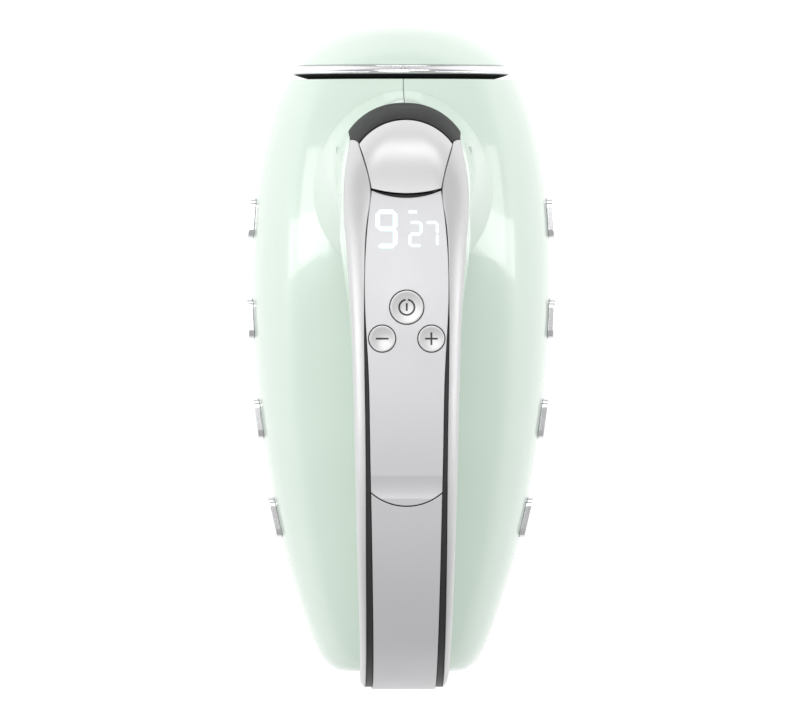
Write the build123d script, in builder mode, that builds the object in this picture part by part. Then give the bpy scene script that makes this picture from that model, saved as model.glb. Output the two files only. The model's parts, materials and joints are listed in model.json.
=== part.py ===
"""Retro hand mixer: an oval motor body, a closed loop handle with a display, and two wire beaters.

Frame: millimetres, +Z up, +Y towards the nose, X across.  The origin is the middle of the flat rest pad
under the body, so the pad's face is z = 0 and the beaters hang below it.
"""

import math
import os

from build123d import *

os.makedirs("parts", exist_ok=True)

# ---------------------------------------------------------------- driving dimensions
WALL = 2.4                  # moulded wall of the body and handle
SEAM = 0.12                 # open joint line between the left and right shells
FIT = 0.15                  # gap round a piece that is set into another
FRONT_Y = 86.25             # front edge of the body shells
TAIL_Y = -98.4              # rear end of the body shells
BASE_Z = 1.0                # underside of the base cover
SPLIT_Z = 9.0               # joint between the base cover and the shells
SPINDLE_X = 18.0            # half the distance between the two spindles
SPINDLE_Y = 46.0            # place of the spindles along the body
SHAFT_Z = 42.0              # height of the motor shaft
RAIL_DEPTH = 8.5            # how far the silver rails reach down the handle's sides
LEVER_Y = 58.0              # place of the eject plunger

# y, half width, top and bottom of the body's oval cross-sections
BODY_STATIONS = [
    (FRONT_Y, 36.1, 84.0, 2.5),
    (78.0, 39.5, 86.4, -2.0),
    (60.0, 44.0, 88.6, -8.0),
    (40.0, 46.2, 88.8, -11.5),
    (20.0, 46.6, 87.0, -13.0),
    (0.0, 45.8, 83.2, -13.0),
    (-20.0, 43.8, 78.2, -11.0),
    (-40.0, 40.7, 72.4, -8.0),
    (-60.0, 36.4, 65.8, -4.0),
    (-80.0, 30.4, 58.8, 2.0),
    (-90.5, 26.4, 54.2, 6.6),
    (-95.8, 23.0, 51.0, 10.0),
    (TAIL_Y, 18.2, 46.6, 14.4),
]

# outer point (y, z), inner point (y, z), half width, outer corner radius and inner corner radius of each
# cross-section of the handle loop, from the neck over the grip and down the tail
HANDLE_STATIONS = [
    ((78.6, 99.0), (34.0, 97.0), 20.6, 19.5, 15.0),
    ((76.4, 112.0), (31.5, 104.0), 20.5, 19.3, 14.0),
    ((71.6, 123.5), (28.5, 109.5), 20.4, 18.0, 13.0),
    ((62.5, 132.5), (24.5, 113.5), 20.1, 14.0, 12.0),
    ((47.0, 138.6), (17.5, 116.0), 19.1, 9.0, 11.5),
    ((25.0, 142.2), (8.0, 117.0), 17.6, 5.5, 11.0),
    ((0.0, 143.6), (-6.0, 117.4), 16.6, 4.5, 10.5),
    ((-25.0, 143.4), (-26.0, 117.2), 16.0, 4.3, 10.0),
    ((-50.0, 141.0), (-45.0, 115.6), 15.4, 4.2, 9.5),
    ((-72.0, 135.6), (-61.0, 112.0), 14.8, 4.1, 9.0),
    ((-90.0, 124.8), (-72.5, 105.4), 14.2, 4.0, 8.5),
    ((-100.2, 109.0), (-79.2, 95.5), 13.8, 4.0, 8.0),
    ((-103.6, 90.0), (-82.2, 83.5), 13.6, 4.0, 7.5),
    ((-103.8, 70.0), (-83.0, 69.5), 13.3, 4.0, 7.0),
    ((-102.6, 50.0), (-84.5, 53.5), 13.0, 4.0, 6.5),
    ((-100.6, 32.0), (-87.0, 36.0), 12.4, 4.0, 5.0),
    ((-98.8, 19.0), (-89.0, 21.0), 11.6, 3.5, 3.5),
]
BAND_END = 14               # station on the tail where the rails and the grip strip end

# x, y of the edge between a rail and the channel it borders, on the right side
CHANNEL_EDGE = [
    (14.75, 66.2),
    (12.4, 58.0),
    (11.1, 51.2),
    (12.2, 42.0),
    (12.95, 32.0),
    (13.2, 17.5),
    (13.1, -5.0),
    (12.8, -23.0),
    (12.5, -64.0),
    (12.1, -98.0),
    (12.0, -110.0),
]


def plane_at(y):
    """Upright plane across the mixer at y, with local x = +X and local y = +Z."""
    return Plane.XZ.offset(-y)


def export(piece, name):
    """Labels a finished piece and writes its file."""
    piece.label = name
    export_step(piece, f"parts/{name}.step")


def body_egg(inset, length=1.0):
    """Closed egg of the motor body, taken in by inset and with its length scaled."""
    with BuildPart() as egg:
        for y, half_width, top, bottom in BODY_STATIONS:
            with BuildSketch(plane_at(y * length)):
                with Locations((0, (top + bottom) / 2)):
                    Ellipse(half_width - inset, (top - bottom) / 2 - inset)
        loft()
    return egg.part


def handle_plane(outer, inner):
    """Plane of one handle section, with local x = +X and local y from inner to outer."""
    up = Vector(0, outer[0] - inner[0], outer[1] - inner[1]).normalized()
    middle = (0, (outer[0] + inner[0]) / 2, (outer[1] + inner[1]) / 2)
    return Plane(origin=middle, x_dir=(1, 0, 0), z_dir=Vector(1, 0, 0).cross(up))


def handle_loop(inset, last=len(HANDLE_STATIONS)):
    """Closed handle loop, taken in by inset, up to a station."""
    with BuildPart() as loop:
        for outer, inner, half_width, outer_radius, inner_radius in HANDLE_STATIONS[:last]:
            height = math.dist(outer, inner)
            with BuildSketch(handle_plane(outer, inner)) as section:
                Rectangle(2 * (half_width - inset), height - 2 * inset)
                corners = section.vertices().group_by(Axis.Y)
                fillet(corners[-1], outer_radius - inset)
                corners = section.vertices().group_by(Axis.Y)
                fillet(corners[0], inner_radius - inset)
        loft()
    return loop.part


def layer_points(depth, first, last):
    """Points of the handle's outer line, taken in by depth, from one station to another."""
    points = []
    for outer, inner, *_ in HANDLE_STATIONS[first:last]:
        t = depth / math.dist(outer, inner)
        points.append((outer[0] + (inner[0] - outer[0]) * t, outer[1] + (inner[1] - outer[1]) * t))
    return points


def layer(top, bottom, first=0, last=BAND_END + 1):
    """Curved slab between two depths under the handle's outer line, as wide as the handle."""
    with BuildPart() as slab:
        with BuildSketch(Plane.YZ):
            with BuildLine():
                upper = layer_points(top, first, last)
                lower = layer_points(bottom, first, last)
                Spline(*upper)
                Line(upper[-1], lower[-1])
                Spline(*reversed(lower))
                Line(lower[0], upper[0])
            make_face()
        extrude(amount=30, both=True)
    return slab.part


def prism(sketch, low=-20, high=160):
    """Upright prism of a plan outline."""
    with BuildPart() as column:
        with BuildSketch(Plane.XY.offset(low)):
            add(sketch)
        extrude(amount=high - low)
    return column.part


def bar_y(radius, start, end, x=0, z=SHAFT_Z):
    """Round bar along Y."""
    with BuildPart() as bar:
        with BuildSketch(plane_at(start)):
            with Locations((x, z)):
                Circle(radius)
        extrude(amount=start - end)
    return bar.part


def bar_z(radius, low, high, x=0, y=0):
    """Round bar along Z."""
    with BuildPart() as bar:
        with BuildSketch(Plane.XY.offset(low)):
            with Locations((x, y)):
                Circle(radius)
        extrude(amount=high - low)
    return bar.part


def block(x, y, z, centre_x=0):
    """Box of full width x about centre_x, between the two y values and the two z values."""
    with BuildPart() as box:
        with Locations((centre_x, y[0], z[0])):
            Box(x, y[1] - y[0], z[1] - z[0], align=(Align.CENTER, Align.MIN, Align.MIN))
    return box.part


# ---------------------------------------------------------------- plan outlines
# Each is grown on every side by its margin.


def channel_plan(margin=0):
    """The channel between the rails."""
    edge = [(x + margin, y) for x, y in CHANNEL_EDGE]
    opposite = [(-x, y) for x, y in reversed(edge)]
    with BuildSketch() as plan:
        with BuildLine():
            Spline(*edge)
            Line(edge[-1], opposite[0])
            Spline(*opposite)
            Line(opposite[-1], edge[0])
        make_face()
    return plan.sketch


def rail_plan(margin=0):
    """The right rail, outside the channel."""
    m = margin
    edge = [(14.75 - m, 66.2 + m)] + [(x - m, y) for x, y in CHANNEL_EDGE[1:]]
    with BuildSketch() as plan:
        with BuildLine():
            Spline(*edge)
            Polyline(edge[-1], (30, -110), (30, 49 + m), (22, 57 + m))
            Spline((22, 57 + m), (19.4 + m, 63.2 + m), (16.6, 67.0 + m), edge[0])
        make_face()
    return plan.sketch


def button_plan(margin=0):
    """The eject button."""
    m = margin
    side = [(14.4 + m, 65.6 + m / 2), (12.1 + m, 58.0), (10.75 + m, 51.9 - m / 2)]
    with BuildSketch() as plan:
        with BuildLine():
            ThreePointArc((-side[0][0], side[0][1]), (0, 73.1 + m), side[0])
            Spline(*side)
            ThreePointArc(side[-1], (0, 50.4 - m), (-side[-1][0], side[-1][1]))
            Spline(*[(-x, y) for x, y in reversed(side)])
        make_face()
    return plan.sketch


# x, y along the right edge of the control panel
PANEL_EDGE = [
    (10.7, 51.2),
    (11.9, 42.0),
    (12.7, 32.0),
    (12.95, 18.0),
    (11.8, -4.4),
    (11.35, -23.0),
    (11.0, -42.0),
]


def panel_plan(margin=0):
    """The control panel."""
    m = margin
    ends = [(10.7 + m, 51.2 + m), (11.0 + m, -42.0 - m)]
    side = [ends[0]] + [(x + m, y) for x, y in PANEL_EDGE[1:-1]] + [ends[1]]
    with BuildSketch() as plan:
        with BuildLine():
            ThreePointArc((-ends[0][0], ends[0][1]), (0, 48.9 + m), ends[0])
            Spline(*side)
            ThreePointArc(ends[1], (0, -46.2 - m), (-ends[1][0], ends[1][1]))
            Spline(*[(-x, y) for x, y in reversed(side)])
        make_face()
    return plan.sketch


def strip_plan(margin=0):
    """The strip behind the panel, down the tail."""
    m = margin
    side = [(10.95 + m, -42.5 + m), (10.5 + m, -64.0), (9.8 + m, -98.0), (9.6 + m, -110)]
    with BuildSketch() as plan:
        with BuildLine():
            ThreePointArc((-side[0][0], side[0][1]), (0, -46.6 + m), side[0])
            Polyline(*side, *[(-x, y) for x, y in reversed(side)])
        make_face()
    return plan.sketch


panel_gap = prism(panel_plan(FIT))
strip_gap = prism(strip_plan(FIT))
rail_prism = prism(rail_plan())
rail_prisms = {1: rail_prism, -1: mirror(rail_prism, about=Plane.YZ)}
rail_gap = prism(rail_plan(FIT))
rail_gaps = [rail_gap, mirror(rail_gap, about=Plane.YZ)]

# ---------------------------------------------------------------- shared envelopes
egg = body_egg(0)
egg_hollow = body_egg(WALL, length=1 + WALL / TAIL_Y)
loop_solid = handle_loop(0)
loop_hollow = handle_loop(WALL, last=-1)
rail_slab = layer(-6, RAIL_DEPTH)
rail_clear = layer(-6, RAIL_DEPTH + FIT)

NECK = [                    # height, centre y, half length and half width of the flared neck
    (76.0, 50.0, 35.0, 29.0),
    (84.0, 51.8, 31.2, 25.4),
    (91.0, 54.2, 26.9, 22.7),
    (99.0, 56.0, 22.9, 20.9),
    (105.0, 55.2, 22.2, 20.5),
]


def neck(inset):
    """Flared neck from the body up to the handle, taken in by inset."""
    with BuildPart() as flare:
        for height, centre, half_length, half_width in NECK:
            with BuildSketch(Plane.XY.offset(height)):
                with Locations((0, centre)):
                    Ellipse(half_width - inset, half_length - inset)
        loft()
    return flare.part


with BuildPart() as nose_hole:              # opening in the shells' front wall
    with BuildSketch(plane_at(70)):
        with Locations((0, 43.5)):
            Ellipse(28.9, 32.9)
    extrude(amount=-30)

# ---------------------------------------------------------------- motor body shells
RIB_SPOTS = [(15.0, 69.5), (22.0, -36.0)]   # base screws, mirrored to the other side
SPINE_SCREWS = [(8.0, -16.0, 139.4), (8.0, -40.0, 137.9)]  # x, y and height of the head's seat

with BuildPart() as shells:
    add(egg)
    add(block(120, (-110, 110), (-20, SPLIT_Z + FIT)), mode=Mode.SUBTRACT)
    add(loop_solid)
    add(neck(0))
    add(block(60, (-106, -80), (-20, SPLIT_Z + FIT)), mode=Mode.SUBTRACT)
    add(egg_hollow, mode=Mode.SUBTRACT)
    add(loop_hollow, mode=Mode.SUBTRACT)
    add(neck(WALL), mode=Mode.SUBTRACT)
    add(nose_hole.part, mode=Mode.SUBTRACT)
    add(rail_clear, mode=Mode.SUBTRACT)

with BuildPart() as webs:                   # ribs that carry the motor, the gearbox and the screws
    add(block(90, (-42, -39.5), (SPLIT_Z + 0.2, 75)))
    add(block(90, (2.5, 5), (SPLIT_Z + 0.2, 88)))
    add(block(90, (64.6, 67), (SPLIT_Z + 0.2, 92)))
    add(bar_y(26.1, -45, 10), mode=Mode.SUBTRACT)
    add(block(58, (60, 70), (12, 78)), mode=Mode.SUBTRACT)
    add(block(30, (0, 8), (60, 90)), mode=Mode.SUBTRACT)
    for x, y in RIB_SPOTS:
        for side in (-1, 1):
            add(bar_z(3.6, SPLIT_Z + 0.2, 24, side * x, y))
            add(block(22, (y - 1.2, y + 1.2), (SPLIT_Z + 0.2, 24), side * (x + 11)))
    add(body_egg(0.8), mode=Mode.INTERSECT)
    add(block(42, (LEVER_Y - 7, LEVER_Y + 7), (90, 93)))
    add(bar_z(3.08, 80, 100, 0, LEVER_Y), mode=Mode.SUBTRACT)
    for x, y, seat in SPINE_SCREWS:
        for side in (-1, 1):
            add(bar_z(3.0, 117.2, 136.6, side * x, y))
    for x, y in RIB_SPOTS:
        for side in (-1, 1):
            add(bar_z(1.25, 0, 20, side * x, y), mode=Mode.SUBTRACT)
    for x, y, seat in SPINE_SCREWS:
        for side in (-1, 1):
            add(bar_z(1.05, 122, 150, side * x, y), mode=Mode.SUBTRACT)

TRIM_SPOTS = [(43.1, 39.5), (11.7, 37.5), (-19.5, 34.0), (-50.4, 31.5)]
for side, name in ((-1, "left"), (1, "right")):
    with BuildPart() as shell:
        add(shells.part)
        add(webs.part)
        add(block(120, (-120, 120), (-20, 160), side * (60 + SEAM / 2)), mode=Mode.INTERSECT)
        for y, z in TRIM_SPOTS:
            with BuildSketch(Plane.YZ):
                with Locations((y - 3.2, z), (y + 3.2, z)):
                    Circle(1.35)
            extrude(amount=side * 60, mode=Mode.SUBTRACT)
    export(shell.part, f"body_shell_{name}")

    with BuildPart() as pegs:
        with BuildSketch(Plane.YZ.offset(side * 30)):
            for y, z in TRIM_SPOTS:
                with Locations((y - 3.2, z), (y + 3.2, z)):
                    Circle(1.2)
        extrude(amount=side * 20)
        add(body_egg(-0.8), mode=Mode.INTERSECT)
        add(body_egg(3.0), mode=Mode.SUBTRACT)

    with BuildPart() as trims:              # four raised bars with two pegs each
        with BuildSketch(Plane.YZ.offset(side * 30)):
            for y, z in TRIM_SPOTS:
                with Locations((y, z)):
                    RectangleRounded(12.5, 11.0, 2.6)
        extrude(amount=side * 20)
        add(body_egg(-1.75), mode=Mode.INTERSECT)
        add(body_egg(-0.08), mode=Mode.SUBTRACT)
        add(pegs.part)
    export(trims.part, f"side_trims_{name}")

    with BuildPart() as rail:
        add(rail_prisms[side])
        add(loop_solid, mode=Mode.INTERSECT)
        add(rail_slab, mode=Mode.INTERSECT)
    export(rail.part, f"handle_rail_{name}")

# ---------------------------------------------------------------- grip strip, panel and keys
PANEL_TOP = 0.4             # depth of the panel's face under the handle's outer line
PANEL_BACK = 2.45
SPINE_SEAT = 2.6            # depth of the grip strip's floor under the panel
SPINE_BACK = 5.0
# name, x, y, head radius and height of the rim
KEYS = [
    ("power", 0.0, 15.1, 5.15, 143.0),
    ("minus", -7.6, 5.4, 4.05, 143.4),
    ("plus", 7.6, 5.4, 4.05, 143.4),
]
DISPLAY = (19.6, 32.6, 46.2)    # width and the two ends of the display window

with BuildSketch() as spine_front:          # room for the button in front of the grip strip
    with BuildLine():
        ThreePointArc((-14, 52.3), (0, 50.0), (14, 52.3))
        Polyline((14, 52.3), (16, 80), (-16, 80), (-14, 52.3))
    make_face()

with BuildPart() as panel_recess:
    add(panel_gap)
    add(strip_gap)
    add(block(40, (9, 80), (90, 150)))
    add(layer(-6, SPINE_SEAT), mode=Mode.INTERSECT)

with BuildPart() as grip_spine:
    add(layer(1.1, SPINE_BACK))
    add(prism(channel_plan(-FIT)), mode=Mode.INTERSECT)
    add(prism(spine_front.sketch), mode=Mode.SUBTRACT)
    add(panel_recess.part, mode=Mode.SUBTRACT)
    add(block(DISPLAY[0], DISPLAY[1:], (125, 150)), mode=Mode.SUBTRACT)
    for _, x, y, _, rim in KEYS:
        add(bar_z(2.35, 125, 150, x, y), mode=Mode.SUBTRACT)
        add(bar_z(3.4, rim - 4.4, 150, x, y), mode=Mode.SUBTRACT)
    for x, y, seat in SPINE_SCREWS:
        for side in (-1, 1):
            add(bar_z(1.3, 125, 150, side * x, y), mode=Mode.SUBTRACT)
            add(bar_z(2.4, seat, 150, side * x, y), mode=Mode.SUBTRACT)
export(grip_spine.part, "grip_spine")

with BuildPart() as spine_screws:
    for x, y, seat in SPINE_SCREWS:
        for side in (-1, 1):
            add(bar_z(2.3, seat + 0.03, seat + 1.0, side * x, y))
            add(bar_z(1.0, 126, seat + 0.1, side * x, y))
    for x, y, seat in SPINE_SCREWS:
        for side in (-1, 1):
            add(block(2.6, (y - 0.3, y + 0.3), (seat + 0.55, seat + 2), side * x), mode=Mode.SUBTRACT)
export(spine_screws.part, "spine_screws")


def segments(centre_x, centre_y, width, height, stroke, lit):
    """Outline of a seven-segment digit, with only the lit segments of 'abcdefg'."""
    across = width - stroke - 0.25
    upright = (height - stroke) / 2 - 0.25
    side = (width - stroke) / 2
    end = (height - stroke) / 2
    places = {
        "a": (0, end, 0),
        "b": (side, end / 2, 90),
        "c": (side, -end / 2, 90),
        "d": (0, -end, 0),
        "e": (-side, -end / 2, 90),
        "f": (-side, end / 2, 90),
        "g": (0, 0, 0),
    }
    with BuildSketch() as digit:
        for name in lit:
            x, y, turn = places[name]
            half = (upright if turn else across) / 2
            nose = half - stroke / 2
            with Locations(Location((centre_x + x, centre_y + y, 0), (0, 0, turn))):
                Polygon(
                    (-half, 0),
                    (-nose, stroke / 2),
                    (nose, stroke / 2),
                    (half, 0),
                    (nose, -stroke / 2),
                    (-nose, -stroke / 2),
                    align=None,
                )
    return digit.sketch


with BuildPart() as digits_column:          # speed on the left, minutes and seconds on the right
    with BuildSketch(Plane.XY.offset(130)):
        add(segments(-6.25, 39.35, 6.7, 11.9, 1.3, "abcdfg"))
        add(segments(2.75, 37.75, 4.3, 7.95, 0.8, "abged"))
        add(segments(7.75, 37.75, 4.3, 7.95, 0.8, "abc"))
        with Locations((1.95, 44.6)):
            Rectangle(2.5, 0.8)
    extrude(amount=20)

with BuildPart() as display_digits:
    add(digits_column.part)
    add(layer(0.32, 1.2), mode=Mode.INTERSECT)
export(display_digits.part, "display_digits")

with BuildPart() as digit_slots:
    add(digits_column.part)
    add(layer(-2, 1.22), mode=Mode.INTERSECT)

with BuildPart() as control_panel:
    add(layer(PANEL_TOP, PANEL_BACK))
    add(prism(panel_plan()), mode=Mode.INTERSECT)
    add(digit_slots.part, mode=Mode.SUBTRACT)
    for _, x, y, radius, _ in KEYS:
        add(bar_z(radius + 0.3, 125, 150, x, y), mode=Mode.SUBTRACT)
    with BuildSketch(Plane.YZ):             # shallow scoop across the panel's rear end
        with Locations((-43.0, 165.0)):
            Circle(23.6)
    extrude(amount=20, both=True, mode=Mode.SUBTRACT)
export(control_panel.part, "control_panel")

with BuildPart() as rear_strip:
    add(layer(PANEL_TOP, PANEL_BACK))
    add(prism(strip_plan()), mode=Mode.INTERSECT)
export(rear_strip.part, "rear_strip")

for name, x, y, radius, rim in KEYS:
    dish = radius - 0.5
    depth = 0.5
    ball = (dish**2 + depth**2) / (2 * depth)
    with BuildPart() as key:                # dished cap on a stem
        add(bar_z(radius, rim - 1.2, rim, x, y))
        fillet(key.edges().group_by(Axis.Z)[-1], 0.2)
        add(bar_z(2.0, rim - 5.7, rim - 1.2, x, y))
        with Locations((x, y, rim - depth + ball)):
            Sphere(ball, mode=Mode.SUBTRACT)
    export(key.part, f"{name}_key")

    with BuildPart() as key_spring:
        with BuildLine(Plane.XY.offset(rim - 4.15)):
            coil = Helix(pitch=0.95, height=2.7, radius=2.8, center=(x, y, 0))
        with BuildSketch(Plane(origin=coil @ 0, z_dir=coil % 0)):
            Circle(0.2)
        sweep(is_frenet=True)
    export(key_spring.part, f"{name}_key_spring")

with BuildPart() as display_module:
    add(layer(PANEL_BACK + 0.1, 8.8))
    add(block(DISPLAY[0] - 0.3, (DISPLAY[1] + FIT, DISPLAY[2] - FIT), (120, 150)), mode=Mode.INTERSECT)
export(display_module.part, "display_module")

with BuildPart() as control_board:          # board with a switch under each key
    for _, x, y, _, rim in KEYS:
        add(block(6.0, (y - 3.0, y + 3.0), (rim - 9.4, rim - 7.6), x))
        add(bar_z(1.6, rim - 7.7, rim - 7.0, x, y))
    add(layer(9.0, 10.6))
    add(block(21, (-7.0, 48.0), (120, 150)), mode=Mode.INTERSECT)
export(control_board.part, "control_board")

# ---------------------------------------------------------------- eject mechanism
with BuildSketch() as collar_pocket:        # room for the button inside the collar
    with BuildLine():
        ThreePointArc((-14.9, 65.4), (0, 73.45), (14.9, 65.4))
        Polyline((14.9, 65.4), (15.6, 40), (-15.6, 40), (-14.9, 65.4))
    make_face()

with BuildPart() as front_collar:           # dark crescent in front of the eject button
    add(loop_solid)
    add(rail_slab, mode=Mode.INTERSECT)
    add(block(60, (50, 90), (90, 150)), mode=Mode.INTERSECT)
    add(rail_gaps, mode=Mode.SUBTRACT)
    add(prism(collar_pocket.sketch), mode=Mode.SUBTRACT)
export(front_collar.part, "front_collar")

with BuildPart() as eject_button:
    add(prism(button_plan(), low=110))
    add(handle_loop(-0.9), mode=Mode.INTERSECT)
    add(prism(button_plan(-1.8), low=100, high=116), mode=Mode.SUBTRACT)
    add(bar_z(3.02, 100, 120, 0, LEVER_Y), mode=Mode.SUBTRACT)
export(eject_button.part, "eject_button")

with BuildPart() as eject_plunger:
    add(bar_z(3.0, 73.5, 119.9, 0, LEVER_Y))
    add(bar_z(1.6, 70.0, 73.6, 0, LEVER_Y))
export(eject_plunger.part, "eject_plunger")

with BuildPart() as eject_yoke:             # forked plate with a push pin over each spindle
    add(block(44, (SPINDLE_Y - 4, SPINDLE_Y + 4), (70, 73.5)))
    add(block(15, (SPINDLE_Y, LEVER_Y + 6), (70, 73.5)))
    fillet(eject_yoke.edges().filter_by(Axis.Z), 1.5)
    add(bar_z(1.65, 60, 80, 0, LEVER_Y), mode=Mode.SUBTRACT)
    for side in (-1, 1):
        add(bar_z(2.3, 46.35, 71, side * SPINDLE_X, SPINDLE_Y))
export(eject_yoke.part, "eject_yoke")

with BuildPart() as eject_spring:
    with BuildLine(Plane.XY.offset(60.7)):
        eject_coil = Helix(pitch=2.8, height=8.6, radius=5.6, center=(0, LEVER_Y, 0))
    with BuildSketch(Plane(origin=eject_coil @ 0, z_dir=eject_coil % 0)):
        Circle(0.6)
    sweep(is_frenet=True)
export(eject_spring.part, "eject_spring")

# ---------------------------------------------------------------- nose
NOSE_Z = 43.5
NOSE_ASPECT = 1.12          # height of the nose's ovals over their width


def oval_loft(sections):
    """Solid through (y, half width) ovals of the nose."""
    with BuildPart() as solid:
        for y, half_width in sections:
            with BuildSketch(plane_at(y)):
                with Locations((0, NOSE_Z)):
                    Ellipse(half_width, half_width * NOSE_ASPECT)
        loft()
    return solid.part


def oval_disc(half_width, start, end):
    """Oval plate of the nose between two y values."""
    with BuildPart() as plate:
        with BuildSketch(plane_at(start)):
            with Locations((0, NOSE_Z)):
                Ellipse(half_width, half_width * NOSE_ASPECT)
        extrude(amount=start - end)
    return plate.part


with BuildPart() as nose_spacer:            # dark groove between the body and the ring
    add(oval_disc(32.2, 80.9, 83.7))
    add(oval_disc(28.6, 83.6, 86.4))
    add(oval_loft([(86.35, 28.6), (87.1, 31.4), (87.8, 33.5)]))
    add(oval_disc(24.6, 70, 95), mode=Mode.SUBTRACT)
export(nose_spacer.part, "nose_spacer")

with BuildPart() as trim_ring:
    add(oval_loft([(87.9, 34.1), (88.5, 34.4), (89.4, 33.9), (90.5, 32.9)]))
    add(oval_disc(24.6, 70, 95), mode=Mode.SUBTRACT)
export(trim_ring.part, "trim_ring")


DOME = [                    # y and half width of the nose cap, from its rim to its tip
    (90.6, 32.7),
    (92.5, 31.2),
    (95.0, 28.7),
    (97.5, 25.4),
    (100.0, 21.0),
    (101.6, 16.8),
    (102.7, 12.2),
    (103.4, 7.6),
    (103.75, 3.0),
]

with BuildPart() as nose_cap:
    add(oval_loft(DOME))
    add(oval_loft([(y - 2.4, half_width - 2.2) for y, half_width in DOME[:-1]]), mode=Mode.SUBTRACT)
    add(oval_disc(24.4, 84.5, 96.0))
    add(oval_disc(22.2, 80, 96.1), mode=Mode.SUBTRACT)
export(nose_cap.part, "nose_cap")

# ---------------------------------------------------------------- base
PAD = (44.0, 48.0)
BOARD_POSTS = [(14.0, -62.0), (12.0, -76.0)]

with BuildPart() as tray:
    add(egg_hollow)
    add(block(120, (-110, 110), (BASE_Z + WALL, 20)), mode=Mode.INTERSECT)

with BuildPart() as base_cover:
    add(egg)
    add(block(120, (-110, 110), (BASE_Z, SPLIT_Z)), mode=Mode.INTERSECT)
    add(tray.part, mode=Mode.SUBTRACT)
    for x, y in BOARD_POSTS:
        for side in (-1, 1):
            add(bar_z(2.6, 3.2, 23.9, side * x, y))
    for side in (-1, 1):
        add(bar_z(8.2, -5, 20, side * SPINDLE_X, SPINDLE_Y), mode=Mode.SUBTRACT)
        for x, y in RIB_SPOTS:
            add(bar_z(1.6, -5, 20, side * x, y), mode=Mode.SUBTRACT)
            add(bar_z(3.0, -5, 2.4, side * x, y), mode=Mode.SUBTRACT)
    with BuildSketch(Plane.XY.offset(-5)):
        RectangleRounded(PAD[0] + 0.3, PAD[1] + 0.3, 6.15)
    extrude(amount=6.8, mode=Mode.SUBTRACT)
    with BuildSketch(Plane.XY.offset(-5)):  # air slots under the motor
        with GridLocations(0, 5.5, 1, 5):
            with Locations((0, -44)):
                SlotOverall(26, 2.4)
    extrude(amount=15, mode=Mode.SUBTRACT)
    add(bar_z(5.15, -5, 20, 0, -84), mode=Mode.SUBTRACT)
    add(bar_z(6.6, -5, 3.2, 0, -84), mode=Mode.SUBTRACT)
export(base_cover.part, "base_cover")

with BuildPart() as rest_pad:
    with BuildSketch():
        RectangleRounded(PAD[0], PAD[1], 6)
    extrude(amount=1.75)
export(rest_pad.part, "rest_pad")

with BuildPart() as base_screws:
    for x, y in RIB_SPOTS:
        for side in (-1, 1):
            add(bar_z(2.8, 1.2, 2.35, side * x, y))
            add(bar_z(1.2, 2.3, 18, side * x, y))
            add(block(3.2, (y - 0.35, y + 0.35), (1.0, 1.8), side * x), mode=Mode.SUBTRACT)
export(base_screws.part, "base_screws")

with BuildPart() as cord_gland:
    add(bar_z(6.4, 0.8, 3.0, 0, -84))
    add(bar_z(5.0, 2.9, 14, 0, -84))
    add(bar_z(5.8, 10.2, 12.0, 0, -84))
    fillet(cord_gland.edges().group_by(Axis.Z)[0], 0.8)
    add(bar_z(2.6, -5, 20, 0, -84), mode=Mode.SUBTRACT)
export(cord_gland.part, "cord_gland")

# ---------------------------------------------------------------- motor
with BuildPart() as motor_can:
    add(bar_y(22, -44, 8))
    add(bar_y(20.6, -45, 6.6), mode=Mode.SUBTRACT)
    add(bar_y(6, 6, 11))
    add(bar_y(4.1, 0, 20), mode=Mode.SUBTRACT)
    with BuildSketch(plane_at(0)):
        with Locations((0, SHAFT_Z)):
            with PolarLocations(13, 6):
                Circle(3.2)
    extrude(amount=-20, mode=Mode.SUBTRACT)
export(motor_can.part, "motor_can")

with BuildPart() as motor_mounts:           # rubber rings between the can and the ribs
    for y in (-44.5, 0.0):
        add(bar_y(26.0, y + 1.5, y + 7.5))
        add(bar_y(22.05, y, y + 9), mode=Mode.SUBTRACT)
export(motor_mounts.part, "motor_mounts")

with BuildPart() as motor_magnets:
    add(bar_y(20.5, -38, 2))
    add(bar_y(16.6, -40, 4), mode=Mode.SUBTRACT)
    add(block(12, (-50, 50), (0, 90)), mode=Mode.SUBTRACT)
export(motor_magnets.part, "motor_magnets")

with BuildPart() as motor_end_bell:
    add(bar_y(22, -56, -44.1))
    add(bar_y(20.6, -54.5, -40), mode=Mode.SUBTRACT)
    add(bar_y(6, -55, -50.6))
    for side in (-1, 1):                    # brush boxes
        add(block(10.4, (-54.6, -40.3), (SHAFT_Z - 3.6, SHAFT_Z + 3.6), side * 14.2))
    for side in (-1, 1):
        add(block(20, (-47.1, -41.4), (SHAFT_Z - 2.3, SHAFT_Z + 2.3), side * 12), mode=Mode.SUBTRACT)
    add(bar_y(4.1, -54.5, -40), mode=Mode.SUBTRACT)
export(motor_end_bell.part, "motor_end_bell")

with BuildPart() as armature:
    add(bar_y(16.0, -32, -4))
    with BuildSketch(plane_at(-40)):
        with Locations((0, SHAFT_Z)):
            with PolarLocations(13.2, 12):
                SlotOverall(7.0, 3.0)
            with PolarLocations(15.6, 12):
                Rectangle(2.5, 1.4)
    extrude(amount=-50, mode=Mode.SUBTRACT)
    add(bar_y(2.5, -40, 10), mode=Mode.SUBTRACT)
export(armature.part, "armature")

with BuildPart() as windings:
    for start, end in ((-37.5, -32.1), (-3.9, 1.0)):
        add(bar_y(14.0, start, end))
        fillet(windings.edges().filter_by(GeomType.CIRCLE).group_by(Axis.Y)[-1], 2.0)
    with BuildSketch(plane_at(-32.2)):
        with Locations((0, SHAFT_Z)):
            with PolarLocations(13.1, 12):
                SlotOverall(5.6, 2.6)
    extrude(amount=-28.4)
    add(bar_y(2.5, -40, 10), mode=Mode.SUBTRACT)
export(windings.part, "windings")

WORM_LEAD = 4.71            # single start worm of module 1.5
WORM_START = SPINDLE_Y - 3 * WORM_LEAD

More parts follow.
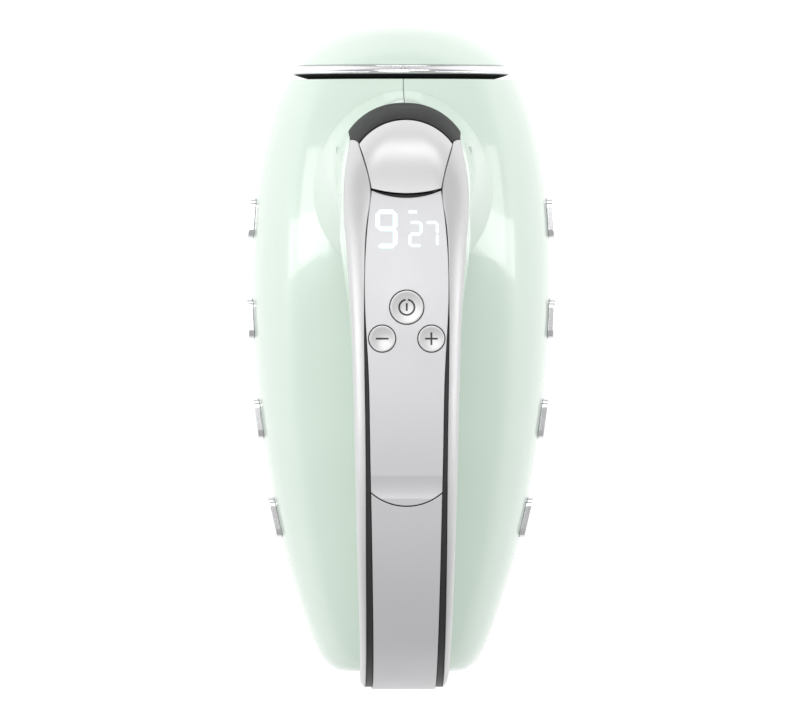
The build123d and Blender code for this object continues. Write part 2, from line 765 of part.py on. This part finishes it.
with BuildPart() as thread:
    with BuildLine():
        worm_line = Helix(pitch=WORM_LEAD, height=6 * WORM_LEAD, radius=4.2)
    with BuildSketch(Plane(origin=worm_line @ 0, x_dir=(1, 0, 0), z_dir=worm_line % 0)):
        Polygon((-1.6, -1.25), (1.6, -0.5), (1.6, 0.5), (-1.6, 1.25), align=None)
    sweep(is_frenet=True)

worm_place = Plane(origin=(0, WORM_START, SHAFT_Z), x_dir=(1, 0, 0), z_dir=(0, 1, 0)).location
worm_thread = worm_place * thread.part

with BuildPart() as motor_shaft:            # shaft with the worm cut on its front end
    add(bar_y(2.5, -54.3, 65.0))
    add(bar_y(2.8, 30.6, 61.4))
    add(worm_thread)
export(motor_shaft.part, "motor_shaft")

with BuildPart() as commutator:
    add(bar_y(7.0, -48, -40.5))
    with BuildSketch(plane_at(-50)):
        with Locations((0, SHAFT_Z)):
            with PolarLocations(7.0, 12):
                Rectangle(2.0, 0.5)
    extrude(amount=-12, mode=Mode.SUBTRACT)
    add(bar_y(2.5, -50, -30), mode=Mode.SUBTRACT)
export(commutator.part, "commutator")

with BuildPart() as brushes:
    for side in (-1, 1):
        add(block(8.0, (-47.0, -41.5), (SHAFT_Z - 2.2, SHAFT_Z + 2.2), side * 11.1))
    add(bar_y(7.08, -60, -30), mode=Mode.SUBTRACT)
export(brushes.part, "brushes")

with BuildPart() as fan:
    add(bar_y(6.0, 13.5, 23.5))
    add(bar_y(20.0, 13.5, 14.7))
    with BuildSketch(plane_at(14.6)):
        with Locations((0, SHAFT_Z)):
            with PolarLocations(12.4, 9):
                Rectangle(14.2, 1.3, rotation=24)
    extrude(amount=-8)
    add(bar_y(2.5, 0, 40), mode=Mode.SUBTRACT)
export(fan.part, "fan")

with BuildPart() as shaft_bearings:
    for start, end in ((-54.4, -50.7), (6.7, 10.9), (61.7, 63.9)):
        add(bar_y(4.0, start, end))
        add(bar_y(2.56, start - 1, end + 1), mode=Mode.SUBTRACT)
export(shaft_bearings.part, "shaft_bearings")

# ---------------------------------------------------------------- gearbox
CORNER = 13.5               # cover screws, from the spindle to each corner
FEET = [(25.5, 32.0), (-25.5, 32.0), (0.0, 60.5)]

with BuildPart() as gearbox_housing:
    with BuildSketch(Plane.XY.offset(25)):
        with Locations((0, SPINDLE_Y)):
            RectangleRounded(72, 36, 5)
    extrude(amount=32)
    with BuildSketch(Plane.XY.offset(27.4)):
        with Locations((0, SPINDLE_Y)):
            RectangleRounded(67.2, 31.2, 3)
    extrude(amount=40, mode=Mode.SUBTRACT)
    for x in (-SPINDLE_X - CORNER, SPINDLE_X + CORNER):
        for y in (SPINDLE_Y - CORNER, SPINDLE_Y + CORNER):
            add(bar_z(3.3, 26, 57, x, y))
            add(bar_z(1.55, 44, 60, x, y), mode=Mode.SUBTRACT)
    for x, y in FEET:
        add(bar_z(3.4, 3.5, 26, x, y))
    for side in (-1, 1):
        add(bar_z(7.0, 20, 30, side * SPINDLE_X, SPINDLE_Y), mode=Mode.SUBTRACT)
    add(bar_y(3.4, 20, 40), mode=Mode.SUBTRACT)
    add(bar_y(4.05, 58, 70), mode=Mode.SUBTRACT)
export(gearbox_housing.part, "gearbox_housing")

with BuildPart() as gearbox_cover:
    with BuildSketch(Plane.XY.offset(57.05)):
        with Locations((0, SPINDLE_Y)):
            RectangleRounded(72, 36, 5)
            with GridLocations(2 * SPINDLE_X, 0, 2, 1):
                Circle(7.0, mode=Mode.SUBTRACT)
            with GridLocations(2 * (SPINDLE_X + CORNER), 2 * CORNER, 2, 2):
                Circle(1.65, mode=Mode.SUBTRACT)
    extrude(amount=2.95)
export(gearbox_cover.part, "gearbox_cover")

with BuildPart() as gearbox_screws:
    for x in (-SPINDLE_X - CORNER, SPINDLE_X + CORNER):
        for y in (SPINDLE_Y - CORNER, SPINDLE_Y + CORNER):
            add(bar_z(2.7, 60.05, 61.8, x, y))
            add(bar_z(1.5, 46, 60.1, x, y))
            add(block(3.4, (y - 0.4, y + 0.4), (61.0, 62.5), x), mode=Mode.SUBTRACT)
export(gearbox_screws.part, "gearbox_screws")

with BuildPart() as spindle_bushes:
    for side in (-1, 1):
        for low in (25.0, 56.0):
            add(bar_z(6.95, low, low + 5, side * SPINDLE_X, SPINDLE_Y))
            add(bar_z(5.06, low - 1, low + 6, side * SPINDLE_X, SPINDLE_Y), mode=Mode.SUBTRACT)
export(spindle_bushes.part, "spindle_bushes")

TEETH = 18
GEAR_HALF = 3.5             # half the face width of the worm wheels
TWIST = math.degrees(GEAR_HALF * math.tan(math.radians(9.46)) / 13.5)

with BuildPart() as tooth:                  # one helical tooth, tapered outwards
    for height, turn in ((-GEAR_HALF, -TWIST), (0, 0), (GEAR_HALF, TWIST)):
        with BuildSketch(Plane.XY.offset(height).rotated((0, 0, turn))):
            Polygon((11.2, -1.35), (14.6, -0.5), (14.6, 0.5), (11.2, 1.35), align=None)
    loft(ruled=True)

for side, name, phase in ((-1, "left", 0), (1, "right", 10)):
    with BuildPart() as worm_wheel:
        Cylinder(11.5, 2 * GEAR_HALF)
        with PolarLocations(0, TEETH, start_angle=phase):
            add(tooth.part)
        Cylinder(8.4, 23.2)
        Cylinder(5.0, 40, mode=Mode.SUBTRACT)
    export(Pos(side * SPINDLE_X, SPINDLE_Y, SHAFT_Z) * worm_wheel.part, f"worm_wheel_{name}")

    with BuildPart() as spindle:            # hollow spindle with a slotted socket at its foot
        add(bar_z(5.0, 13, 62.5, side * SPINDLE_X, SPINDLE_Y))
        add(bar_z(7.0, 3, 14, side * SPINDLE_X, SPINDLE_Y))
        add(bar_z(2.6, 0, 70, side * SPINDLE_X, SPINDLE_Y), mode=Mode.SUBTRACT)
        with BuildSketch():
            with Locations((side * SPINDLE_X, SPINDLE_Y)):
                with PolarLocations(0, 2, angular_range=180):
                    Rectangle(12, 2.5)
        extrude(amount=10, mode=Mode.SUBTRACT)
    export(spindle.part, f"spindle_{name}")

    with BuildPart() as circlips:
        for low in (23.9, 61.15):
            add(bar_z(6.4, low, low + 0.8, side * SPINDLE_X, SPINDLE_Y))
        add(bar_z(5.0, 0, 70, side * SPINDLE_X, SPINDLE_Y), mode=Mode.SUBTRACT)
        add(block(3, (SPINDLE_Y, SPINDLE_Y + 8), (20, 65), side * SPINDLE_X), mode=Mode.SUBTRACT)
    export(circlips.part, f"circlips_{name}")

# ---------------------------------------------------------------- beaters
WIRE = 1.15                 # radius of the beater wire
HUB_Z = -32.0               # where the wires leave the shaft
# distance from the axis and height along one side of a wire loop
LOOP = [
    (2.6, HUB_Z + 2),
    (9.5, -41.0),
    (18.5, -56.0),
    (23.6, -77.0),
    (22.9, -98.0),
    (17.2, -117.0),
    (7.6, -129.5),
    (0, -132.5),
]



def wire_loop(drop):
    """One closed arch of wire, drawn out downwards by drop so that two of them cross one over the other."""
    side = [(x, z - drop * (HUB_Z + 2 - z) / 100) for x, z in LOOP]
    with BuildPart() as loop:
        with BuildLine(Plane.XZ):
            arch = Spline(*side, *[(-x, z) for x, z in reversed(side[:-1])])
        with BuildSketch(Plane(origin=arch @ 0, z_dir=arch % 0)):
            Circle(WIRE)
        sweep(path=arch)
    return loop.part


crossed_loops = [wire_loop(1.7), Rot(0, 0, 90) * wire_loop(0)]

for side, name, phase in ((-1, "left", 0), (1, "right", 45)):
    place = Location((side * SPINDLE_X, SPINDLE_Y, 0), (0, 0, phase))
    with BuildPart() as beater_shaft:
        with Locations((0, 0, 46)):
            Cylinder(2.52, 80, align=(Align.CENTER, Align.CENTER, Align.MAX))
        with PolarLocations(0, 2, angular_range=180, start_angle=-phase):
            with Locations((0, 0, 4)):
                Box(10.4, 1.8, 4.6, align=(Align.CENTER, Align.CENTER, Align.MIN))
        fillet(beater_shaft.edges().group_by(Axis.Z)[-1], 0.8)
    export(place * beater_shaft.part, f"beater_shaft_{name}")

    with BuildPart() as beater_collar:
        Cylinder(9.0, 2.4)
        fillet(beater_collar.edges(), 0.7)
        Cylinder(2.52, 10, mode=Mode.SUBTRACT)
    export(place * Pos(0, 0, -2.4) * beater_collar.part, f"beater_collar_{name}")

    with BuildPart() as beater_wires:       # two crossed wire loops with a hub round the shaft
        add(crossed_loops)
        with Locations((0, 0, HUB_Z)):
            Cylinder(4.2, 9)
        with Locations((0, 0, -20)):
            Cylinder(2.52, 28, mode=Mode.SUBTRACT)
    export(place * beater_wires.part, f"beater_wires_{name}")

# ---------------------------------------------------------------- power electronics in the tail
with BuildPart() as power_board:            # board with two capacitors and a finned heat sink
    add(block(38, (-78, -58.5), (24.0, 25.6)))
    for x in (-6.0, 6.0):
        add(bar_z(5.0, 25.5, 41, x, -72.0))
    add(block(18, (-65.5, -60.0), (25.5, 38)))
    with BuildSketch(Plane.XY.offset(29)):
        with Locations((0, -60.6)):
            with GridLocations(3.6, 0, 5, 1):
                Rectangle(1.6, 5)
    extrude(amount=12, mode=Mode.SUBTRACT)
export(power_board.part, "power_board")

with BuildPart() as wire_harness:           # leads from the power board up the tail to the display
    for side in (-1, 1):
        with BuildLine():
            lead = Spline(
                (side * 14.5, -68, 27.2),
                (side * 12, -84, 34),
                (side * 8.5, -92.5, 52),
                (side * 6, -93.5, 75),
                (side * 5, -91, 95),
                (side * 4, -80.5, 114),
                (side * 3, -50, 129),
                (side * 3, -9, 132),
            )
        with BuildSketch(Plane(origin=lead @ 0, z_dir=lead % 0)):
            Circle(1.1)
        sweep(path=lead)
export(wire_harness.part, "wire_harness")
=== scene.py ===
"""Looks of the hand mixer: procedural finishes, key icons, studio light and camera round its frame."""
import json
import math

import bpy
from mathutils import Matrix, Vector


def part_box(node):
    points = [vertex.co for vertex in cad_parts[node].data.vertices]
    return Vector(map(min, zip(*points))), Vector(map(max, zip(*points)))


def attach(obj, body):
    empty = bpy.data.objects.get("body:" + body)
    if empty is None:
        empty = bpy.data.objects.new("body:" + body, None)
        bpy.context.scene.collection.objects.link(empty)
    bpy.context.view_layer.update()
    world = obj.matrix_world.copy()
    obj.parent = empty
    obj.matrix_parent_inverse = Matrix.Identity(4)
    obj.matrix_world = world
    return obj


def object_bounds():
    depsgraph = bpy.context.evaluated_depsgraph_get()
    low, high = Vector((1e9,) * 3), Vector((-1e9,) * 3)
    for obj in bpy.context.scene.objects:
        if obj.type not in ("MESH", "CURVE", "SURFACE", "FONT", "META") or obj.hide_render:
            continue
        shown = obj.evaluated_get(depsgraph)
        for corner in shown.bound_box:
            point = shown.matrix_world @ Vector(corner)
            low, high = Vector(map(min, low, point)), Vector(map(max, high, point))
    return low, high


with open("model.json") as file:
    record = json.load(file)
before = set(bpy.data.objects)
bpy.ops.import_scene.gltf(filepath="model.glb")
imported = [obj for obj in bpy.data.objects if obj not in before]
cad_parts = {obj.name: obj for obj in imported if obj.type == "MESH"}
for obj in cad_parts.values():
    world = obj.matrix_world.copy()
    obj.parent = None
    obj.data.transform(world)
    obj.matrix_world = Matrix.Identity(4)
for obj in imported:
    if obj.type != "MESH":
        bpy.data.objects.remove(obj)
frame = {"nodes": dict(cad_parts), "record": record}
CAD_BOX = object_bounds()
nodes = frame["nodes"]


# ---------------------------------------------------------------- finishes
def linear(hex_colour):
    """Linear colour of an sRGB hex string."""
    values = [int(hex_colour[i:i + 2], 16) / 255 for i in (0, 2, 4)]
    return [v / 12.92 if v <= 0.04045 else ((v + 0.055) / 1.055) ** 2.4 for v in values] + [1.0]


def finish(
    name, colour, rough, metal=0.0, coat=0.0, spread=0.04, grain=900.0, depth=0.02,
    stretch=(1, 1, 1), edge=0.0, glow=0.0, gleam=0.5,
):
    """Procedural finish: mottled colour, uneven gloss, fine grain, and edges softened by edge metres."""
    material = bpy.data.materials.new(name)
    material.use_nodes = True
    tree = material.node_tree
    shader = tree.nodes["Principled BSDF"]
    shader.inputs["Metallic"].default_value = metal
    shader.inputs["Specular IOR Level"].default_value = gleam
    shader.inputs["Coat Weight"].default_value = coat
    shader.inputs["Coat Roughness"].default_value = 0.04
    place = tree.nodes.new("ShaderNodeTexCoord")
    mapping = tree.nodes.new("ShaderNodeMapping")
    mapping.inputs["Scale"].default_value = stretch
    tree.links.new(place.outputs["Object"], mapping.inputs["Vector"])

    mottle = tree.nodes.new("ShaderNodeTexNoise")
    mottle.inputs["Scale"].default_value = 28.0
    mottle.inputs["Detail"].default_value = 5.0
    tree.links.new(mapping.outputs["Vector"], mottle.inputs["Vector"])
    ramp = tree.nodes.new("ShaderNodeValToRGB")
    base = linear(colour)
    ramp.color_ramp.elements[0].position = 0.3
    ramp.color_ramp.elements[1].position = 0.7
    ramp.color_ramp.elements[0].color = [c * (1 - spread) for c in base[:3]] + [1.0]
    ramp.color_ramp.elements[1].color = [min(1.0, c * (1 + spread)) for c in base[:3]] + [1.0]
    tree.links.new(mottle.outputs["Fac"], ramp.inputs["Fac"])
    tree.links.new(ramp.outputs["Color"], shader.inputs["Base Color"])

    smear = tree.nodes.new("ShaderNodeTexNoise")
    smear.inputs["Scale"].default_value = 60.0
    smear.inputs["Detail"].default_value = 6.0
    tree.links.new(mapping.outputs["Vector"], smear.inputs["Vector"])
    gloss = tree.nodes.new("ShaderNodeMapRange")
    gloss.inputs["To Min"].default_value = rough * 0.82
    gloss.inputs["To Max"].default_value = min(1.0, rough * 1.2)
    tree.links.new(smear.outputs["Fac"], gloss.inputs["Value"])
    tree.links.new(gloss.outputs["Result"], shader.inputs["Roughness"])

    fine = tree.nodes.new("ShaderNodeTexNoise")
    fine.inputs["Scale"].default_value = grain
    fine.inputs["Detail"].default_value = 3.0
    tree.links.new(mapping.outputs["Vector"], fine.inputs["Vector"])
    bump = tree.nodes.new("ShaderNodeBump")
    bump.inputs["Strength"].default_value = depth
    bump.inputs["Distance"].default_value = 0.0002
    tree.links.new(fine.outputs["Fac"], bump.inputs["Height"])
    if edge:
        soft = tree.nodes.new("ShaderNodeBevel")
        soft.samples = 4
        soft.inputs["Radius"].default_value = edge
        tree.links.new(soft.outputs["Normal"], bump.inputs["Normal"])
    tree.links.new(bump.outputs["Normal"], shader.inputs["Normal"])
    if glow:
        tree.links.new(ramp.outputs["Color"], shader.inputs["Emission Color"])
        shader.inputs["Emission Strength"].default_value = glow
    return material


FINISHES = {
    "mint_gloss": finish(
        "mint_gloss", "d4e4d8", 0.22, coat=0.8, spread=0.012, depth=0.01, edge=0.0008,
    ),
    "silver_paint": finish(
        "silver_paint", "cbcbcc", 0.36, metal=0.35, spread=0.02, grain=2600, depth=0.05, edge=0.0006,
    ),
    "panel_silver": finish(
        "panel_silver", "d0d0d2", 0.4, metal=0.3, spread=0.02, grain=3200, depth=0.06, edge=0.0003,
    ),
    "chrome": finish(
        "chrome", "e6e6e8", 0.12, metal=1.0, spread=0.01, grain=500, depth=0.01, edge=0.0004,
    ),
    "dark_plastic": finish(
        "dark_plastic", "2a2a2b", 0.5, spread=0.08, grain=1800, depth=0.05, edge=0.0004, gleam=0.1,
    ),
    "dark_grip": finish(
        "dark_grip", "2c2c2d", 0.55, spread=0.08, grain=2400, depth=0.12, edge=0.0003,
    ),
    "button_grey": finish(
        "button_grey", "d6d6d6", 0.33, metal=0.3, spread=0.015, grain=2600, depth=0.03, edge=0.0004,
    ),
    "display_light": finish("display_light", "d6fbff", 0.3, spread=0.02, glow=1.15),
    "rubber": finish("rubber", "2b2b2b", 0.6, spread=0.1, grain=1500, depth=0.15, edge=0.0005),
    "steel": finish(
        "steel", "a9a9ab", 0.3, metal=1.0, spread=0.05, stretch=(1, 1, 14), grain=700, depth=0.05,
    ),
    "beater_steel": finish(
        "beater_steel", "c9c9cc", 0.12, metal=1.0, spread=0.02, stretch=(1, 1, 6), grain=600, depth=0.02,
    ),
    "motor_steel": finish(
        "motor_steel", "97989a", 0.35, metal=1.0, spread=0.06, stretch=(1, 10, 1), grain=500, depth=0.05,
    ),
    "magnet": finish("magnet", "2c2b2b", 0.7, spread=0.12, grain=900, depth=0.2),
    "copper": finish(
        "copper", "b4683c", 0.32, metal=1.0, spread=0.1, stretch=(1, 6, 1), grain=1200, depth=0.15,
    ),
    "bronze": finish("bronze", "a5824e", 0.45, metal=1.0, spread=0.08, grain=2000, depth=0.1),
    "gear_nylon": finish("gear_nylon", "dcd8c8", 0.42, spread=0.03, grain=1200, depth=0.05),
    "housing_plastic": finish(
        "housing_plastic", "4a4a4c", 0.5, spread=0.08, grain=1600, depth=0.12, edge=0.0004,
    ),
    "carbon": finish("carbon", "2a2a2c", 0.55, spread=0.12, grain=2200, depth=0.15),
    "circuit": finish("circuit", "1f5a36", 0.4, coat=0.4, spread=0.12, grain=700, depth=0.1),
    "icon_ink": finish("icon_ink", "333436", 0.4, spread=0.04, grain=2000, depth=0.02),
}

for part in frame["record"]["subparts"]:
    mesh = nodes[part["node"]].data
    mesh.materials.clear()
    mesh.materials.append(FINISHES[part["material_slot"]])


# ---------------------------------------------------------------- key icons
DISH_DEPTH = 0.0005         # depth of the dish in each key, metres
RIM_WIDTH = 0.0005
STROKE = 0.00056
ICON_LIFT = 0.00002         # printed ink stands this far over the dish
INK = 0.00004               # thickness of the ink


def dish_height(key_box, x, y):
    """Height of a key's dished face at x, y."""
    lo, hi = key_box
    radius = (hi.x - lo.x) / 2
    dish = radius - RIM_WIDTH
    ball = (dish ** 2 + DISH_DEPTH ** 2) / (2 * DISH_DEPTH)
    r2 = (x - (lo.x + hi.x) / 2) ** 2 + (y - (lo.y + hi.y) / 2) ** 2
    return hi.z - DISH_DEPTH + ball - math.sqrt(ball ** 2 - r2)


def ink_strip(name, key, line, width):
    """Flat ribbon of ink along a line of points given from the key's middle, lying in the dish."""
    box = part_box(key)
    centre = (box[0] + box[1]) / 2
    verts, faces = [], []
    for i, (x, y) in enumerate(line):
        ahead = line[min(i + 1, len(line) - 1)]
        behind = line[max(i - 1, 0)]
        along = Vector((ahead[0] - behind[0], ahead[1] - behind[1], 0)).normalized()
        across = Vector((-along.y, along.x, 0)) * width / 2
        for side in (-1, 1):
            px, py = centre.x + x + side * across.x, centre.y + y + side * across.y
            ground = dish_height(box, px, py) + ICON_LIFT
            verts += [(px, py, ground), (px, py, ground + INK)]
    for i in range(len(line) - 1):
        a, b = 4 * i, 4 * i + 4
        faces += [(a + 1, a + 3, b + 3, b + 1), (a, b, b + 2, a + 2)]
        faces += [(a, a + 1, b + 1, b), (a + 2, b + 2, b + 3, a + 3)]
    end = 4 * (len(line) - 1)
    faces += [(0, 2, 3, 1), (end, end + 1, end + 3, end + 2)]
    mesh = bpy.data.meshes.new(name)
    mesh.from_pydata(verts, [], faces)
    mesh.materials.append(FINISHES["icon_ink"])
    piece = bpy.data.objects.new(name, mesh)
    bpy.context.scene.collection.objects.link(piece)
    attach(piece, key)


def straight(x0, y0, x1, y1, steps=8):
    """Points along a straight line."""
    return [(x0 + (x1 - x0) * i / steps, y0 + (y1 - y0) * i / steps) for i in range(steps + 1)]


RING = 0.00235              # radius of the power sign's ring
GAP = math.radians(9)       # half the opening at its top
arc = [math.pi / 2 + GAP + (2 * math.pi - 2 * GAP) * i / 40 for i in range(41)]
ring = [(RING * math.cos(a), RING * math.sin(a)) for a in arc]
ink_strip("icon_power_ring", "power_key", ring, STROKE)
ink_strip("icon_power_bar", "power_key", straight(0, -0.0011, 0, 0.0013), STROKE)
ink_strip("icon_minus_bar", "minus_key", straight(-0.00195, 0, 0.00195, 0), STROKE)
ink_strip("icon_plus_bar", "plus_key", straight(-0.00195, 0, 0.00195, 0), STROKE)
ink_strip("icon_plus_up", "plus_key", straight(0, STROKE / 2, 0, 0.00195), STROKE)
ink_strip("icon_plus_down", "plus_key", straight(0, -STROKE / 2, 0, -0.00195), STROKE)


# ---------------------------------------------------------------- studio
def area_light(name, place, target, size, power):
    """Softbox at place, facing target; size is its width and height."""
    lamp = bpy.data.lights.new(name, "AREA")
    lamp.shape = "RECTANGLE"
    lamp.size, lamp.size_y = size
    lamp.energy = power
    holder = bpy.data.objects.new(name, lamp)
    holder.location = place
    holder.rotation_euler = (Vector(target) - Vector(place)).to_track_quat("-Z", "Y").to_euler()
    bpy.context.scene.collection.objects.link(holder)


area_light("top_box", (-0.25, 0.45, 1.7), (0, 0, 0), (1.0, 1.0), 8)
area_light("left_box", (-1.15, 0.1, 0.6), (0, 0, 0.05), (0.4, 1.3), 4)
area_light("right_box", (1.15, 0.1, 0.6), (0, 0, 0.05), (0.4, 1.3), 3.5)
area_light("front_box", (0.0, 1.2, 0.55), (0, 0, 0.05), (1.0, 0.4), 3.2)
area_light("low_left", (-1.0, 0.0, 0.05), (0, 0, 0.05), (0.12, 1.2), 1.2)
area_light("low_right", (1.0, 0.0, 0.05), (0, 0, 0.05), (0.12, 1.2), 1.2)

world = bpy.data.worlds.new("studio")
bpy.context.scene.world = world
world.use_nodes = True
sky = world.node_tree.nodes["Background"]
sky.inputs["Color"].default_value = (1.0, 1.0, 1.0, 1.0)
sky.inputs["Strength"].default_value = 0.5
bpy.context.scene.view_settings.view_transform = "Standard"

FLOOR_DROP = 0.009          # the floor stays clear of the beaters at the end of their travel
FLOOR_Z = CAD_BOX[0].z - FLOOR_DROP
bpy.ops.mesh.primitive_plane_add(size=12, location=(0, 0, FLOOR_Z))
floor = bpy.context.object
floor.name = "floor"
paper = bpy.data.materials.new("paper")
paper.use_nodes = True
paper_shader = paper.node_tree.nodes["Principled BSDF"]
paper_shader.inputs["Base Color"].default_value = (0.9, 0.9, 0.9, 1.0)
paper_shader.inputs["Roughness"].default_value = 0.9
paper_shader.inputs["Emission Color"].default_value = (1.0, 1.0, 1.0, 1.0)
paper_shader.inputs["Emission Strength"].default_value = 0.3
floor.data.materials.append(paper)

# ---------------------------------------------------------------- camera
TILT = math.radians(1.0)    # the view leans this far off straight down
DISTANCE = 9.0
SENSOR = 36.0               # millimetres
FRAME_WIDTH = 0.25          # width of what the picture shows at the body
AIM = Vector((-0.0003, 0.0002, 0.04))

camera_data = bpy.data.cameras.new("camera")
camera_data.sensor_width = SENSOR
camera_data.lens = SENSOR * DISTANCE / FRAME_WIDTH
camera_data.clip_end = 20.0
camera = bpy.data.objects.new("camera", camera_data)
camera.location = AIM + DISTANCE * Vector((-math.sin(TILT), 0, math.cos(TILT)))
camera.rotation_euler = (0, -TILT, 0)
bpy.context.scene.collection.objects.link(camera)
bpy.context.scene.camera = camera

bpy.context.view_layer.update()
